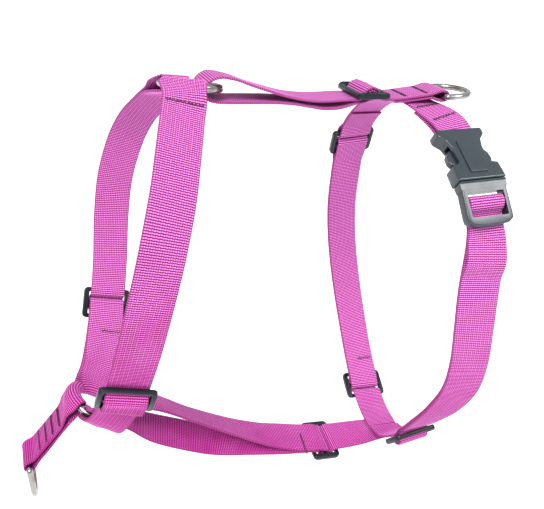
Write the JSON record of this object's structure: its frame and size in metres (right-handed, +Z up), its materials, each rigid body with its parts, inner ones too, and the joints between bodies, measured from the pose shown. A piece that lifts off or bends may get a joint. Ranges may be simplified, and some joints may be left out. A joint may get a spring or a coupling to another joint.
{
  "type": "dog harness",
  "caption": "Adjustable webbing dog harness with neck and girth loops, back and belly straps, side-release buckle, slides and leash rings.",
  "frame": {"origin": "middle of the flat run under the back strap, which lies on the dog's back", "axes": "+Z up away from the dog's back, -X towards the dog's head, -Y towards the dog's left side"},
  "size_m": [0.2929, 0.1842, 0.2891],
  "materials": {
    "webbing": "woven nylon webbing, crosswise ribs, soft sheen",
    "nickel": "nickel plated welded wire, satin",
    "slide_plastic": "moulded black acetal, fine satin",
    "buckle_plastic": "moulded black acetal, fine satin"
  },
  "bodies": {
    "harness": {"near_shoulder_strap": "webbing", "far_shoulder_strap": "webbing", "back_strap": "webbing", "girth_top_strap": "webbing", "far_girth_strap": "webbing", "near_girth_strap": "webbing", "belly_strap": "webbing", "withers_ring": "nickel", "chest_ring": "nickel", "far_girth_joiner": "slide_plastic", "buckle_socket": "buckle_plastic"},
    "back_leash_ring": {"back_leash_ring": "nickel"},
    "front_leash_tab": {"front_leash_tab": "webbing"},
    "front_leash_ring": {"front_leash_ring": "nickel"},
    "buckle_plug": {"buckle_plug": "buckle_plastic"},
    "front_prong": {"front_prong": "buckle_plastic"},
    "rear_prong": {"rear_prong": "buckle_plastic"},
    "near_shoulder_slide": {"near_shoulder_slide": "slide_plastic"},
    "far_shoulder_slide": {"far_shoulder_slide": "slide_plastic"},
    "back_slide": {"back_slide": "slide_plastic"},
    "far_girth_slide": {"far_girth_slide": "slide_plastic"},
    "near_girth_slide": {"near_girth_slide": "slide_plastic"},
    "belly_slide": {"belly_slide": "slide_plastic"}
  },
  "joints": [
    {"name": "back_leash_ring_hinge", "type": "hinge", "parent": "harness", "child": "back_leash_ring", "pos_m": [0.128, 0, 0.006], "axis": [0, -1, 0], "range_deg": [0, 150]},
    {"name": "front_leash_tab_hinge", "type": "hinge", "parent": "harness", "child": "front_leash_tab", "pos_m": [-0.10414, 0, -0.1945], "axis": [0, 1, 0], "range_deg": [-35, 45], "deforming": ["front_leash_tab"]},
    {"name": "front_leash_ring_hinge", "type": "hinge", "parent": "front_leash_tab", "child": "front_leash_ring", "pos_m": [-0.134, 0, -0.238], "axis": [0, 1, 0], "range_deg": [-100, 140]},
    {"name": "buckle_release", "type": "slide", "parent": "harness", "child": "buckle_plug", "axis": [0.0542, -0.8241, -0.5639], "range_m": [0, 0.028], "deforming": ["near_girth_strap", "front_prong", "rear_prong"]},
    {"name": "front_prong_squeeze", "type": "hinge", "parent": "buckle_plug", "child": "front_prong", "pos_m": [0.11557, -0.06679, -0.03171], "axis": [0.0173, 0.5654, -0.8247], "range_deg": [0, 7], "stiffness_Nm_per_rad": 0.5},
    {"name": "rear_prong_squeeze", "type": "hinge", "parent": "buckle_plug", "child": "rear_prong", "pos_m": [0.13394, -0.06615, -0.03088], "axis": [-0.0173, -0.5654, 0.8247], "range_deg": [0, 7], "stiffness_Nm_per_rad": 0.5},
    {"name": "near_shoulder_adjust", "type": "slide", "parent": "harness", "child": "near_shoulder_slide", "axis": [-0.0764, 0.4717, -0.8784], "range_m": [-0.008, 0.008], "deforming": ["near_shoulder_strap"]},
    {"name": "far_shoulder_adjust", "type": "slide", "parent": "harness", "child": "far_shoulder_slide", "axis": [-0.1668, -0.4773, -0.8628], "range_m": [-0.008, 0.008], "deforming": ["far_shoulder_strap"]},
    {"name": "back_adjust", "type": "slide", "parent": "harness", "child": "back_slide", "axis": [-0.9999, 0, -0.0162], "range_m": [-0.008, 0.008], "deforming": ["back_strap"]},
    {"name": "far_girth_adjust", "type": "slide", "parent": "harness", "child": "far_girth_slide", "axis": [-0.0314, -0.8382, -0.5444], "range_m": [-0.01, 0.004], "deforming": ["far_girth_strap"]},
    {"name": "near_girth_adjust", "type": "slide", "parent": "harness", "child": "near_girth_slide", "axis": [0.0179, 0.6803, -0.7327], "range_m": [-0.008, 0.008], "deforming": ["near_girth_strap"]},
    {"name": "belly_adjust", "type": "slide", "parent": "harness", "child": "belly_slide", "axis": [-0.9943, -0.0309, 0.1023], "range_m": [-0.008, 0.008], "deforming": ["belly_strap"]}
  ],
  "couplings": [
    {"joint": "rear_prong_squeeze", "follows": "front_prong_squeeze", "ratio": 1}
  ]
}
